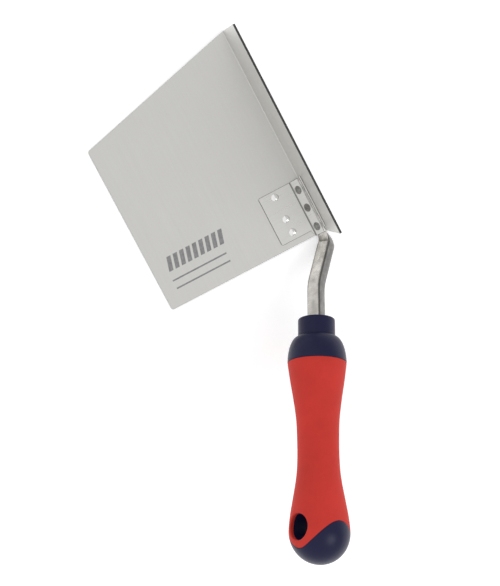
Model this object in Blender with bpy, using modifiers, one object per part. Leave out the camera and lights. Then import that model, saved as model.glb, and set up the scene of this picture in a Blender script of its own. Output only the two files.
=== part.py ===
"""Inside-corner trowel: a folded sheet blade, a riveted bracket, a bent tang and a two-part handle.

Every piece is drawn in the tool's own symmetric frame: X across, Y along the fold towards the
front, Z up the bisector between the two wings, with the inside corner of the fold on the Y axis.
The pieces hang from one empty, which lays the tool down on a level surface, flat on its left wing,
so that the right wing stands upright and the handle rises behind the blade.
"""
import math

import bmesh
import bpy
from mathutils import Matrix, Vector

# Driving dimensions, in metres and radians.
GAP = 0.0003
HALF_ANGLE = math.radians(45)

BLADE_LENGTH = 0.127
WING_WIDTH = 0.102
SHEET = 0.0010
FOLD_RADIUS = 0.0006
FRONT_SWEEP = math.radians(13)
CORNER_RADIUS = 0.0012

BRACKET_SHEET = 0.0012
BRACKET_FOLD_RADIUS = 0.0012
BRACKET_FRONT = 0.0338
WEB_REAR = -0.0003
FLANGE_REAR = 0.0034
FLANGE_EDGE = 0.0265
WEB_EDGE = 0.0060
FLANGE_STEP = 0.0010

RIVET_REACH = 0.0174
RIVET_STATIONS = (0.0301, 0.0161, 0.0077)
RIVET_SHANK_RADIUS = 0.0015
RIVET_HEAD_RADIUS = 0.0023
RIVET_HEAD_HEIGHTS = {"left": 0.0012, "right": 0.0003}
RIVET_TAIL_RADIUS = 0.0024
RIVET_TAIL_HEIGHT = 0.0006

WELD_HOLE_RADIUS = 0.0025
WELD_STATIONS = (0.0277, 0.0164, 0.0044)
WELD_THICKNESS = 0.0006
WELD_DISH = 0.0002

BAR = 0.0080
BAR_EDGE_RADIUS = 0.0019
FOOT_FRONT = 0.0310
FOOT_BOTTOM = 0.0016
FOOT_BOTTOM_WIDTH = 0.0018
TANG_RISE = math.radians(54)
TANG_BEND_Y = -0.0056
TANG_TWIST = math.radians(22)
FOOT_BEND_RADIUS = 0.008
NECK_BEND_RADIUS = 0.030
TANG_IN_HANDLE = 0.045
SOCKET_CLEARANCE = 0.0003

HANDLE_TOP = Vector((0.0, -0.0400, 0.0399))
HANDLE_PITCH = math.radians(36.7)
HANDLE_LENGTH = 0.1271
COLLAR_RADIUS = 0.0101
COLLAR_LENGTH = 0.0102
COLLAR_EDGE = 0.0005
SHOULDER = 0.0245
SHOULDER_RADIUS = 0.0159
BUTT_START = 0.1115
BUTT_TIP_RADIUS = 0.0012
GRIP_CURVE = (
    (SHOULDER, SHOULDER_RADIUS),
    (0.0337, 0.0146),
    (0.0445, 0.0128),
    (0.0551, 0.0114),
    (0.0676, 0.0109),
    (0.0783, 0.0110),
    (0.0859, 0.0117),
    (0.0958, 0.0134),
    (0.1032, 0.0147),
    (0.1092, 0.0154),
    (BUTT_START, 0.0155),
)
SLEEVE_THICKNESS = 0.0022
SLEEVE_TOP = SHOULDER + 0.0004
WAVE_MIDDLE = 0.1129
WAVE_HEIGHT = 0.0065
HOLE_STATION = 0.1094
HOLE_HALF_WIDTH = 0.0064
HOLE_HALF_LENGTH = 0.0064

SIDES = {"left": -1, "right": 1}
ROUND_STEPS = 24
HANDLE_STEPS = 48


def clear_scene():
    for old in list(bpy.data.objects):
        bpy.data.objects.remove(old, do_unlink=True)


def new_collection(name):
    made = bpy.data.collections.new(name)
    bpy.context.scene.collection.children.link(made)
    return made


def new_material(name, colour, roughness, metallic):
    made = bpy.data.materials.new(name)
    made.use_nodes = True
    shader = made.node_tree.nodes["Principled BSDF"]
    shader.inputs["Base Color"].default_value = (*colour, 1.0)
    shader.inputs["Roughness"].default_value = roughness
    shader.inputs["Metallic"].default_value = metallic
    made.diffuse_color = (*colour, 1.0)
    return made


# The tool's frame and the ways to place things in it.

def wing_point(side, reach, height):
    """Point in the X-Z plane: reach along a wing from the fold, height above its inner face."""
    along = Vector((side * math.sin(HALF_ANGLE), math.cos(HALF_ANGLE)))
    inward = Vector((-side * math.cos(HALF_ANGLE), math.sin(HALF_ANGLE)))
    return along * reach + inward * height


def wing_place(side, reach, station):
    """Matrix that stands local Z on a wing's inner face, pointing into the corner."""
    flat = wing_point(side, reach, 0.0)
    turn = Matrix.Rotation(-side * (math.pi / 2 - HALF_ANGLE), 4, "Y")
    return Matrix.Translation((flat.x, station, flat.y)) @ turn


def handle_axis():
    return Vector((0.0, -math.cos(HANDLE_PITCH), math.sin(HANDLE_PITCH)))


def handle_place(station):
    """Matrix at a station down the handle: local Z runs to the butt, local Y to the open side."""
    down = handle_axis()
    across = Vector((1.0, 0.0, 0.0))
    turn = Matrix((across, down.cross(across), down)).transposed().to_4x4()
    return Matrix.Translation(HANDLE_TOP + down * station) @ turn


# Curves.

def fillet(before, corner, after, radius, steps=6):
    """Points of the arc that rounds the corner of a flat path."""
    back = (before - corner).normalized()
    ahead = (after - corner).normalized()
    half = back.angle(ahead) / 2
    centre = corner + (back + ahead).normalized() * (radius / math.sin(half))
    first = corner + back * (radius / math.tan(half)) - centre
    turn = math.pi - 2 * half
    if back.x * ahead.y - back.y * ahead.x > 0:
        turn = -turn
    return [centre + Matrix.Rotation(turn * k / steps, 2) @ first for k in range(steps + 1)]


def smooth_value(knots, where):
    """Catmull-Rom value at where, through (position, value) knots."""
    last = len(knots) - 2
    index = max(k for k in range(last + 1) if k == 0 or knots[k][0] <= where)
    (x0, y0), (x1, y1) = knots[index], knots[index + 1]
    xa, ya = knots[max(index - 1, 0)]
    xb, yb = knots[min(index + 2, last + 1)]
    span = x1 - x0
    slope_in = (y1 - ya) / (x1 - xa) * span
    slope_out = (yb - y0) / (xb - x0) * span
    t = (where - x0) / span
    return (
        (2 * t**3 - 3 * t**2 + 1) * y0
        + (t**3 - 2 * t**2 + t) * slope_in
        + (3 * t**2 - 2 * t**3) * y1
        + (t**3 - t**2) * slope_out
    )


def quarter_ellipse(t):
    return math.sqrt(max(0.0, 1.0 - t * t))


def steps_between(start, end, count):
    return [start + (end - start) * k / count for k in range(count + 1)]


# Making solids.

def add_object(name, mesh, group, frame, material=None, place=Matrix.Identity(4)):
    made = bpy.data.objects.new(name, mesh)
    group.objects.link(made)
    made.parent = frame
    made.matrix_local = place
    if material:
        mesh.materials.append(material)
    else:
        made.hide_render = True
        made.display_type = "WIRE"
    return made


def mesh_from(name, bm):
    bmesh.ops.recalc_face_normals(bm, faces=bm.faces)
    mesh = bpy.data.meshes.new(name)
    bm.to_mesh(mesh)
    bm.free()
    mesh.shade_smooth()
    mesh.set_sharp_from_angle(angle=math.radians(30))
    return mesh


def lofted_mesh(name, rings, closed_on_itself=False):
    """Skin over rings of equal count, capped at both ends unless it closes on itself."""
    bm = bmesh.new()
    loops = [[bm.verts.new(point) for point in ring] for ring in rings]
    pairs = list(zip(loops, loops[1:]))
    if closed_on_itself:
        pairs.append((loops[-1], loops[0]))
    else:
        bm.faces.new(loops[0])
        bm.faces.new(loops[-1])
    for one, two in pairs:
        for k in range(len(one)):
            after = (k + 1) % len(one)
            bm.faces.new((one[k], one[after], two[after], two[k]))
    return mesh_from(name, bm)


def folded_sheet(name, strip, thickness, group, frame, material):
    """Sheet from its inner face: strip holds (section point, rear y, front y) across the fold."""
    mesh = bpy.data.meshes.new(name)
    points = []
    for flat, rear, front in strip:
        points.append((flat.x, rear, flat.y))
        points.append((flat.x, front, flat.y))
    quads = [(2 * k, 2 * k + 2, 2 * k + 3, 2 * k + 1) for k in range(len(strip) - 1)]
    mesh.from_pydata(points, [], quads)
    made = add_object(name, mesh, group, frame, material)
    solid = made.modifiers.new("thickness", "SOLIDIFY")
    solid.thickness = thickness
    solid.offset = -1.0
    solid.use_even_offset = True
    return made


def turned(name, profile, group, frame, material, place):
    """Round solid about local Z, from (radius, height) points running down its outer side."""
    mesh = bpy.data.meshes.new(name)
    points = [(radius, 0.0, height) for radius, height in profile]
    mesh.from_pydata(points, [(k, k + 1) for k in range(len(points) - 1)], [])
    made = add_object(name, mesh, group, frame, material, place)
    screw = made.modifiers.new("turning", "SCREW")
    screw.steps = ROUND_STEPS
    screw.render_steps = ROUND_STEPS
    screw.use_merge_vertices = True
    screw.merge_threshold = 0.00001
    return made


def cut(target, cutters):
    for cutter in cutters:
        hole = target.modifiers.new("cut_" + cutter.name, "BOOLEAN")
        hole.operation = "DIFFERENCE"
        hole.solver = "EXACT"
        hole.object = cutter


# The blade and its bracket.

def corner_inset(reach, limit):
    """How far a rounded corner of a wing or flange has drawn back at this reach."""
    run = max(0.0, reach - (limit - CORNER_RADIUS))
    return CORNER_RADIUS - math.sqrt(max(0.0, CORNER_RADIUS**2 - run**2))


def tip_reaches(limit, steps=4):
    """Reaches from a wing's free edge through its rounded corner."""
    angles = steps_between(0.0, math.pi / 2, steps)
    return [limit - CORNER_RADIUS * (1 - math.cos(angle)) for angle in angles]


def both_wings(half, middle):
    """Whole strip from the left half, tip first, and the middle, which crosses the plane."""
    mirrored = [(Vector((-flat.x, flat.y)), rear, front) for flat, rear, front in reversed(half)]
    return half + middle + mirrored


def build_blade(group, frame, material):
    limit = WING_WIDTH - SHEET

    def entry(flat):
        reach = abs(flat.x) / math.sin(HALF_ANGLE)
        inset = corner_inset(reach, limit)
        front = BLADE_LENGTH - reach * math.tan(FRONT_SWEEP) - inset
        return flat, inset, front

    half = [entry(wing_point(-1, reach, 0.0)) for reach in tip_reaches(limit)]
    fold = fillet(wing_point(-1, limit, 0.0), Vector((0.0, 0.0)), wing_point(1, limit, 0.0), FOLD_RADIUS)
    strip = both_wings(half, [entry(flat) for flat in fold])
    return folded_sheet("blade", strip, SHEET, group, frame, material)


def web_top():
    """Height of the web's upper face over the inside corner."""
    return wing_point(1, WEB_EDGE, GAP + BRACKET_SHEET).y


def build_bracket(group, frame, material):
    height = GAP + BRACKET_SHEET
    tip = wing_point(-1, FLANGE_EDGE, height)
    bend = wing_point(-1, WEB_EDGE, height)
    web_side = Vector((0.0, bend.y))
    half = []
    for reach in tip_reaches(FLANGE_EDGE):
        inset = corner_inset(reach, FLANGE_EDGE)
        half.append((wing_point(-1, reach, height), FLANGE_REAR + inset, BRACKET_FRONT - inset))
    arc = fillet(tip, bend, web_side, BRACKET_FOLD_RADIUS, 4)
    half.append((arc[0] + (tip - bend).normalized() * FLANGE_STEP, FLANGE_REAR, BRACKET_FRONT))
    half += [(flat, WEB_REAR, BRACKET_FRONT) for flat in arc]
    return folded_sheet("angle_bracket", both_wings(half, []), BRACKET_SHEET, group, frame, material)


def build_rivets(group, cutters, frame, material):
    """Six rivets, flush outside, and the stepped holes that they sit in.

    The left ones have domed heads inside, and the right ones flat heads.
    """
    seat = 2 * GAP + BRACKET_SHEET
    tail = -SHEET + 0.00005
    neck = tail + RIVET_TAIL_HEIGHT
    angles = steps_between(math.pi / 2, 0.0, 6)
    shank = [
        (RIVET_SHANK_RADIUS, seat),
        (RIVET_SHANK_RADIUS, neck),
        (RIVET_TAIL_RADIUS, tail),
        (0.0, tail),
    ]
    hole_radius = RIVET_SHANK_RADIUS + GAP
    flare = (RIVET_TAIL_RADIUS - RIVET_SHANK_RADIUS) / RIVET_TAIL_HEIGHT
    beyond = 0.001
    hole = [
        (0.0, seat + beyond),
        (hole_radius, seat + beyond),
        (hole_radius, neck),
        (hole_radius + flare * (neck + SHEET + beyond), -SHEET - beyond),
        (0.0, -SHEET - beyond),
    ]
    holes = []
    for side_name, side in SIDES.items():
        height = RIVET_HEAD_HEIGHTS[side_name]
        head = [(RIVET_HEAD_RADIUS * math.cos(a), seat + height * math.sin(a)) for a in angles]
        head[0] = (0.0, seat + height)
        for number, station in enumerate(RIVET_STATIONS, 1):
            place = wing_place(side, RIVET_REACH, station)
            turned(f"{side_name}_rivet_{number}", head + shank, group, frame, material, place)
            holes.append(turned(f"{side_name}_rivet_hole_{number}", hole, cutters, frame, None, place))
    return holes


def build_welds(group, cutters, frame, material):
    """Plug welds in the web's round holes, dished and sunk under its face."""
    under = web_top() - BRACKET_SHEET
    weld_radius = WELD_HOLE_RADIUS - GAP
    top = under + WELD_THICKNESS
    plug = [
        (0.0, top - WELD_DISH),
        (weld_radius * 0.6, top - WELD_DISH * 0.7),
        (weld_radius, top),
        (weld_radius, under),
        (0.0, under),
    ]
    reach = 0.002
    hole = [
        (0.0, web_top() + reach),
        (WELD_HOLE_RADIUS, web_top() + reach),
        (WELD_HOLE_RADIUS, under - reach),
        (0.0, under - reach),
    ]
    holes = []
    for number, station in enumerate(WELD_STATIONS, 1):
        place = Matrix.Translation((0.0, station, 0.0))
        turned(f"plug_weld_{number}", plug, group, frame, material, place)
        holes.append(turned(f"weld_hole_{number}", hole, cutters, frame, None, place))
    return holes


# The tang.

def rounded_section(corners, radius, steps=3):
    """Closed outline with its corners rounded, always the same number of points."""
    outline = []
    for k, corner in enumerate(corners):
        before = corners[k - 1]
        after = corners[(k + 1) % len(corners)]
        start = corner + (before - corner).normalized() * radius
        end = corner + (after - corner).normalized() * radius
        for t in steps_between(0.0, 1.0, steps):
            outline.append(start * (1 - t) ** 2 + corner * 2 * t * (1 - t) + end * t**2)
    return outline


def tang_path():
    """Centre line in the Y-Z plane: along the fold, up behind the blade, down the handle's axis."""
    foot_top = web_top() - BRACKET_SHEET - GAP
    level = (foot_top + FOOT_BOTTOM) / 2
    start = Vector((FOOT_FRONT, level))
    heel = Vector((TANG_BEND_Y, level))
    rise = Vector((-math.cos(TANG_RISE), math.sin(TANG_RISE)))
    axis = Vector((handle_axis().y, handle_axis().z))
    top = Vector((HANDLE_TOP.y, HANDLE_TOP.z))
    climb = (top - heel).cross(axis) / rise.cross(axis)
    neck = heel + rise * climb
    end = top + axis * TANG_IN_HANDLE
    heel_arc = fillet(start, heel, neck, FOOT_BEND_RADIUS, 8)
    neck_arc = fillet(heel, neck, end, NECK_BEND_RADIUS, 6)
    return [start, Vector((WEB_REAR, level))] + heel_arc + neck_arc + [top, end]


def tang_section(blend, foot_half_height):
    """Section from the flattened foot (blend 0) to the square bar, turned on its axis (blend 1)."""
    foot_half_width = web_top() - BRACKET_SHEET - GAP - 2.2 * GAP
    foot = [
        Vector((-foot_half_width, foot_half_height)),
        Vector((foot_half_width, foot_half_height)),
        Vector((FOOT_BOTTOM_WIDTH / 2, -foot_half_height)),
        Vector((-FOOT_BOTTOM_WIDTH / 2, -foot_half_height)),
    ]
    half = BAR / 2
    bar = [Vector((-half, half)), Vector((half, half)), Vector((half, -half)), Vector((-half, -half))]
    turn = Matrix.Rotation(-TANG_TWIST * blend, 2)
    corners = [turn @ one.lerp(two, blend) for one, two in zip(foot, bar)]
    return rounded_section(corners, 0.0004 + (BAR_EDGE_RADIUS - 0.0004) * blend)


def build_tang(group, frame, material):
    path = tang_path()
    foot_half_height = (web_top() - BRACKET_SHEET - GAP - FOOT_BOTTOM) / 2
    flat_until = 1
    full_from = 9
    rings = []
    for k, centre in enumerate(path):
        ahead = (path[min(k + 1, len(path) - 1)] - path[max(k - 1, 0)]).normalized()
        up = Vector((ahead.y, -ahead.x))
        blend = min(1.0, max(0.0, (k - flat_until) / (full_from - flat_until)))
        ring = []
        for point in tang_section(blend, foot_half_height):
            spot = centre + up * point.y
            ring.append((point.x, spot.x, spot.y))
        rings.append(ring)
    return add_object("tang", lofted_mesh("tang", rings), group, frame, material)


# The handle.

def handle_radius(station):
    """Outer radius of the whole handle, from the collar's top to the butt."""
    if station <= COLLAR_LENGTH:
        return COLLAR_RADIUS
    if station <= SHOULDER:
        t = (SHOULDER - station) / (SHOULDER - COLLAR_LENGTH)
        return COLLAR_RADIUS + (SHOULDER_RADIUS - COLLAR_RADIUS) * quarter_ellipse(t)
    if station <= BUTT_START:
        return smooth_value(GRIP_CURVE, station)
    t = (station - BUTT_START) / (HANDLE_LENGTH - BUTT_START)
    return max(BUTT_TIP_RADIUS, GRIP_CURVE[-1][1] * quarter_ellipse(t))


def wave_station(angle):
    """Station where the sleeve ends: lowest around the hanging hole, highest beside it."""
    return WAVE_MIDDLE - WAVE_HEIGHT * math.cos(2 * angle)


def handle_ring(rule):
    """Ring round the handle; rule gives (station, radius) for an angle from local X."""
    ring = []
    for k in range(HANDLE_STEPS):
        angle = 2 * math.pi * k / HANDLE_STEPS
        station, radius = rule(angle)
        spot = (radius * math.cos(angle), radius * math.sin(angle), station)
        ring.append(handle_place(0.0) @ Vector(spot))
    return ring


def even_ring(station, radius):
    return handle_ring(lambda angle: (station, radius))


def wavy_ring(share, start, offset, depth):
    """Ring a share of the way from a level start to the wavy end, depth under the surface."""
    def rule(angle):
        station = start + (wave_station(angle) + offset - start) * share
        return station, handle_radius(station) - depth
    return handle_ring(rule)


def butt_ring(share):
    """Ring a share of the way from the wavy end to the tip of the butt."""
    def rule(angle):
        start = wave_station(angle) + GAP
        station = HANDLE_LENGTH - (HANDLE_LENGTH - start) * (1 - share) ** 1.6
        return station, handle_radius(station)
    return handle_ring(rule)


def build_core(group, frame, material):
    neck_start = SHOULDER
    neck_depth = SLEEVE_THICKNESS + GAP
    rings = [even_ring(0.0, COLLAR_RADIUS - COLLAR_EDGE), even_ring(COLLAR_EDGE, COLLAR_RADIUS)]
    rings.append(even_ring(COLLAR_LENGTH, COLLAR_RADIUS))
    for angle in steps_between(0.0, math.pi / 2, 8)[1:]:
        station = SHOULDER - (SHOULDER - COLLAR_LENGTH) * math.cos(angle)
        rings.append(even_ring(station, handle_radius(station)))
    for share in steps_between(0.0, 1.0, 12):
        rings.append(wavy_ring(share, neck_start, GAP, neck_depth))
    for share in steps_between(0.0, 1.0, 10):
        rings.append(butt_ring(share))
    return add_object("handle_core", lofted_mesh("handle_core", rings), group, frame, material)


def build_sleeve(group, frame, material):
    shares = steps_between(0.0, 1.0, 16)
    outer = [wavy_ring(share, SLEEVE_TOP, 0.0, 0.0) for share in shares]
    inner = [wavy_ring(share, SLEEVE_TOP, 0.0, SLEEVE_THICKNESS) for share in reversed(shares)]
    mesh = lofted_mesh("grip_sleeve", outer + inner, closed_on_itself=True)
    return add_object("grip_sleeve", mesh, group, frame, material)


def build_socket(cutters, frame):
    """Square hole that the tang is driven into."""
    bm = bmesh.new()
    bmesh.ops.create_cube(bm, size=1.0)
    width = BAR + 2 * SOCKET_CLEARANCE
    above = 0.002
    depth = TANG_IN_HANDLE + SOCKET_CLEARANCE + above
    bmesh.ops.scale(bm, vec=(width, width, depth), verts=bm.verts)
    place = handle_place(depth / 2 - above) @ Matrix.Rotation(-TANG_TWIST, 4, "Z")
    return add_object("socket", mesh_from("socket", bm), cutters, frame, None, place)


def build_hang_hole(cutters, frame):
    """Hole across the butt, from the open side through to the fold side."""
    bm = bmesh.new()
    bmesh.ops.create_cone(
        bm, cap_ends=True, segments=32, radius1=1.0, radius2=1.0, depth=0.05,
    )
    bmesh.ops.scale(bm, vec=(HOLE_HALF_WIDTH, HOLE_HALF_LENGTH, 1.0), verts=bm.verts)
    place = handle_place(HOLE_STATION) @ Matrix.Rotation(math.pi / 2, 4, "X")
    return add_object("hang_hole", mesh_from("hang_hole", bm), cutters, frame, None, place)


# Laying the tool down.

def lay_down(frame, group):
    """Turn the left wing level and set the tool over the origin, on z = 0."""
    turn = Matrix.Rotation(-HALF_ANGLE, 4, "Y")
    frame.matrix_world = turn
    bpy.context.view_layer.update()
    graph = bpy.context.evaluated_depsgraph_get()
    corners = []
    for piece in group.objects:
        if piece.type == "MESH":
            solid = piece.evaluated_get(graph)
            corners += [solid.matrix_world @ vertex.co for vertex in solid.data.vertices]
    low = [min(point[k] for point in corners) for k in range(3)]
    high = [max(point[k] for point in corners) for k in range(3)]
    shift = Vector((-(low[0] + high[0]) / 2, -(low[1] + high[1]) / 2, -low[2]))
    frame.matrix_world = Matrix.Translation(shift) @ turn


def main():
    clear_scene()
    group = new_collection("corner_trowel")
    cutters = new_collection("cutters")
    frame = bpy.data.objects.new("tool_frame", None)
    group.objects.link(frame)

    sheet_steel = new_material("sheet_steel", (0.55, 0.55, 0.53), 0.4, 1.0)
    bracket_steel = new_material("bracket_steel", (0.52, 0.52, 0.50), 0.4, 1.0)
    bar_steel = new_material("bar_steel", (0.45, 0.43, 0.40), 0.25, 1.0)
    rivet_steel = new_material("rivet_steel", (0.65, 0.65, 0.63), 0.2, 1.0)
    weld_metal = new_material("weld_metal", (0.08, 0.08, 0.075), 0.6, 1.0)
    navy_plastic = new_material("navy_plastic", (0.018, 0.020, 0.055), 0.45, 0.0)
    red_rubber = new_material("red_rubber", (0.50, 0.045, 0.035), 0.6, 0.0)

    blade = build_blade(group, frame, sheet_steel)
    bracket = build_bracket(group, frame, bracket_steel)
    rivet_holes = build_rivets(group, cutters, frame, rivet_steel)
    weld_holes = build_welds(group, cutters, frame, weld_metal)
    cut(blade, rivet_holes)
    cut(bracket, rivet_holes + weld_holes)

    build_tang(group, frame, bar_steel)
    core = build_core(group, frame, navy_plastic)
    sleeve = build_sleeve(group, frame, red_rubber)
    hang_hole = build_hang_hole(cutters, frame)
    cut(core, [build_socket(cutters, frame), hang_hole])
    cut(sleeve, [hang_hole])

    lay_down(frame, group)


main()
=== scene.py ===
"""Finished look of the inside-corner trowel: finer meshes, materials, floor, light and camera.

Shapes are drawn in the tool's own frame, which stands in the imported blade: X across, Y along the
fold towards the front, Z up the bisector between the wings. Handle pieces use the handle's frame:
Z down the handle from its top to the butt, Y to the open side, X across.
"""

import math

import bmesh
import bpy
from mathutils import Matrix, Vector, noise


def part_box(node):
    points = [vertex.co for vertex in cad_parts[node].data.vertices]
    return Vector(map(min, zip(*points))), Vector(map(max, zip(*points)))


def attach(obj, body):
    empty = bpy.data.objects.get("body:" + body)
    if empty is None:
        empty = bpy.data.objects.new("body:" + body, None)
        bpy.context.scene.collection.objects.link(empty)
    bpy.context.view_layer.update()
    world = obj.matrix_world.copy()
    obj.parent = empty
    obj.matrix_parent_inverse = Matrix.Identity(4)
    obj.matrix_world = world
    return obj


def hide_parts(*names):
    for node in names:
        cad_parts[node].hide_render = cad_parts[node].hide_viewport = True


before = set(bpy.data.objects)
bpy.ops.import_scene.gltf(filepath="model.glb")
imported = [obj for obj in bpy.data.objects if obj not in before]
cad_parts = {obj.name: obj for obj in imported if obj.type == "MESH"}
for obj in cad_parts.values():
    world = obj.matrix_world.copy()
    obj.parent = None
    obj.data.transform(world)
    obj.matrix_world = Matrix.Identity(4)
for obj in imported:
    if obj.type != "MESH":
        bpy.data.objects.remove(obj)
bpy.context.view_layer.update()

# Dimensions in metres and radians. They follow the CAD source, with narrower seams between the
# pieces and with finer edges.
SEAM = 0.00005
HALF_ANGLE = math.radians(45)
SHEET = 0.0010
WING_WIDTH = 0.102
BLADE_LENGTH = 0.127
FOLD_RADIUS = 0.0006
FRONT_SWEEP = math.radians(13)
CORNER_RADIUS = 0.0012
SHEET_BEVEL = 0.00007

BRACKET_SHEET = 0.0012
BRACKET_FOLD_RADIUS = 0.0012
BRACKET_FRONT = 0.0338
WEB_REAR = -0.0003
FLANGE_REAR = 0.0034
FLANGE_EDGE = 0.0265
WEB_EDGE = 0.0060
FLANGE_STEP = 0.0010
BRACKET_BEVEL = 0.0002

RIVET_REACH = 0.0174
RIVET_STATIONS = (0.0301, 0.0161, 0.0077)
RIVET_SHANK_RADIUS = 0.0015
RIVET_HEAD_RADIUS = 0.0023
RIVET_HEAD_HEIGHTS = {"left": 0.0013, "right": 0.0003}
RIVET_TAIL_RADIUS = 0.0024
RIVET_TAIL_HEIGHT = 0.0006

WELD_HOLE_RADIUS = 0.0025
WELD_STATIONS = (0.0277, 0.0164, 0.0044)
WELD_THICKNESS = 0.0006
WELD_DISH = 0.00025
WELD_ROUGHNESS = 0.00012
WELD_GRAIN = 900.0

# The marking's bars and rules, by their reach from the fold and their place along it.
MARK_THICKNESS = 0.00002
MARK_BARS = 9
MARK_BAR_START = 0.0555
MARK_BAR_PITCH = 0.0042
MARK_BAR_WIDTH = 0.0027
MARK_BAR_SPAN = (0.0205, 0.0290)
MARK_SLANT = math.radians(-16)
MARK_RULE_SPAN = (0.0570, 0.0925)
MARK_RULE_PLACES = (0.0145, 0.0095)
MARK_RULE_WIDTH = 0.0009

BAR = 0.0080
BAR_EDGE_RADIUS = 0.0019
FOOT_EDGE_RADIUS = 0.0004
FOOT_FRONT = 0.0310
FOOT_BOTTOM = 0.0016
FOOT_BOTTOM_WIDTH = 0.0018
TANG_RISE = math.radians(54)
TANG_BEND_Y = -0.0056
TANG_TWIST = math.radians(22)
FOOT_BEND_RADIUS = 0.008
NECK_BEND_RADIUS = 0.030
TANG_IN_HANDLE = 0.006
HEEL_BLEND = 0.125
BAR_CORNER_STEPS = 8
# Turns the crest of the bar's painted light and shade wave to the middle of its top face.
BAR_PHASE = -math.pi * (BAR_CORNER_STEPS + 0.5) / (BAR_CORNER_STEPS + 1)

HANDLE_TOP = Vector((0.0, -0.0400, 0.0399))
HANDLE_PITCH = math.radians(36.7)
HANDLE_LENGTH = 0.1271
COLLAR_RADIUS = 0.0101
COLLAR_LENGTH = 0.0102
COLLAR_EDGE = 0.0007
SOCKET_DEPTH = 0.003
SHOULDER = 0.0245
SHOULDER_RADIUS = 0.0159
BUTT_START = 0.1115
GRIP_CURVE = (
    (SHOULDER, SHOULDER_RADIUS),
    (0.0337, 0.0146),
    (0.0445, 0.0128),
    (0.0551, 0.0114),
    (0.0676, 0.0109),
    (0.0783, 0.0110),
    (0.0859, 0.0117),
    (0.0958, 0.0134),
    (0.1032, 0.0147),
    (0.1092, 0.0154),
    (BUTT_START, 0.0155),
)
SLEEVE_THICKNESS = 0.0022
SLEEVE_TOP = SHOULDER + SEAM
SLEEVE_EDGE = 0.0004
CORE_EDGE = 0.0002
WAVE_MIDDLE = 0.1129
WAVE_HEIGHT = 0.0065
HOLE_STATION = 0.1094
HOLE_HALF_WIDTH = 0.0064
HOLE_HALF_LENGTH = 0.0064
HOLE_LIP = 0.0009

# The patch of the handle's surface that holds the hole starts and ends this far from its middle.
HOLE_RUN_UP = 0.0085
HOLE_RUN_OUT = 0.0079

# How finely the shapes are drawn, and the angle from which an edge is shaded as sharp.
SHARP_ANGLE = math.radians(35)
HANDLE_SHARP_ANGLE = math.radians(50)
BEVEL_ANGLE = math.radians(50)
TURNED_STEPS = 48
CUTTER_STEPS = 40
FOLD_STEPS = 12
CORNER_STEPS = 10
BEND_STEPS = 8
RIVET_DOME_STEPS = 14
WELD_RINGS = 8
HEEL_STEPS = 24
NECK_STEPS = 18
HANDLE_COLUMNS = 144
HOLE_HALF_COLUMNS = 12
ROWS_ABOVE_HOLE = 64
ROWS_BESIDE_HOLE = 16
ROWS_BELOW_HOLE = 3
HOLE_RINGS = 6
TUBE_RINGS = 12
SHOULDER_RINGS = 28
BUTT_RINGS = 32

# Colours in linear light. A pair holds the darkest and the lightest tone.
SHEET_COLOUR = (0.655, 0.65, 0.625)
# Painted shade: near black for the blade's cut faces and rounded edges.
SHEARED_SHADE_COLOUR = (0.065, 0.065, 0.063)
PLATE_COLOUR = (0.68, 0.675, 0.65)
# Painted shade: dark steel for the bracket's left bend and rounded edges.
BEND_SHADE_COLOUR = (0.23, 0.228, 0.22)
RIVET_COLOUR = (0.92, 0.92, 0.91)
RIVET_TAIL_COLOUR = (0.60, 0.597, 0.585)
# Weld colours: partly heat scale, partly painted shade of the holes' recesses.
WELD_COLOURS = ((0.11, 0.108, 0.103), (0.36, 0.355, 0.34))
MARK_COLOURS = ((0.20, 0.20, 0.205), (0.32, 0.32, 0.32))
BAR_COLOUR = (0.64, 0.615, 0.58)
# Painted shade on two faces of the tang bar.
BAR_SHADE_COLOUR = (0.20, 0.196, 0.188)
NAVY = (0.0085, 0.0095, 0.042)
NAVY_RUBBED = (0.018, 0.019, 0.052)
RED = (0.55, 0.040, 0.030)
RED_RUBBED = (0.57, 0.06, 0.047)
FLOOR_COLOURS = ((0.93, 0.93, 0.935), (0.95, 0.95, 0.95))
WHITE = (1.0, 1.0, 1.0, 1.0)

# How a grain is stretched: it runs along the axes that have the small numbers.
ALONG_FOLD = (1.0, 0.03, 1.0)
ALONG_BEND = (1.0, 0.05, 1.0)
ACROSS_FOLD = (0.05, 1.0, 0.05)
EVENLY = (1.0, 1.0, 1.0)

FLOOR_SIZE = 9.0
FLOOR_DROP = 0.0001
FLOOR_GLOW = 0.32
SKY_AT_LEFT = 0.88
SKY_AT_RIGHT = 0.64
LAMP_PLACE = Vector((0.55, -0.55, 0.95))
LAMP_AIM = Vector((0.0, 0.0, 0.03))
LAMP_SIZE = 0.5
LAMP_POWER = 2.6

CAMERA_PLACE = Vector((0.02734, 0.02939, 0.45406))
CAMERA_TURN_DEGREES = (-5.573, 1.787, -27.705)
CAMERA_LENS = 47.87


# The tool's frame and the handle's frame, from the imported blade.

def tool_place():
    """Matrix of the tool's frame: at the rear of the blade's inside corner, Z between the wings."""
    low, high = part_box("blade")
    inside_corner = Vector((high.x - SHEET, low.y, low.z + SHEET))
    return Matrix.Translation(inside_corner) @ Matrix.Rotation(-HALF_ANGLE, 4, "Y")


def wing_point(side, reach, height):
    """Point in the X-Z plane: reach along a wing from the fold, height above its inner face."""
    along = Vector((side * math.sin(HALF_ANGLE), math.cos(HALF_ANGLE)))
    inward = Vector((-side * math.cos(HALF_ANGLE), math.sin(HALF_ANGLE)))
    return along * reach + inward * height


def wing_place(side, reach, station):
    """Matrix that stands local Z on a wing's inner face, pointing into the corner."""
    flat = wing_point(side, reach, 0.0)
    turn = Matrix.Rotation(-side * (math.pi / 2 - HALF_ANGLE), 4, "Y")
    return Matrix.Translation((flat.x, station, flat.y)) @ turn


def handle_axis():
    """Direction down the handle, from its top to the butt."""
    return Vector((0.0, -math.cos(HANDLE_PITCH), math.sin(HANDLE_PITCH)))


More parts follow.
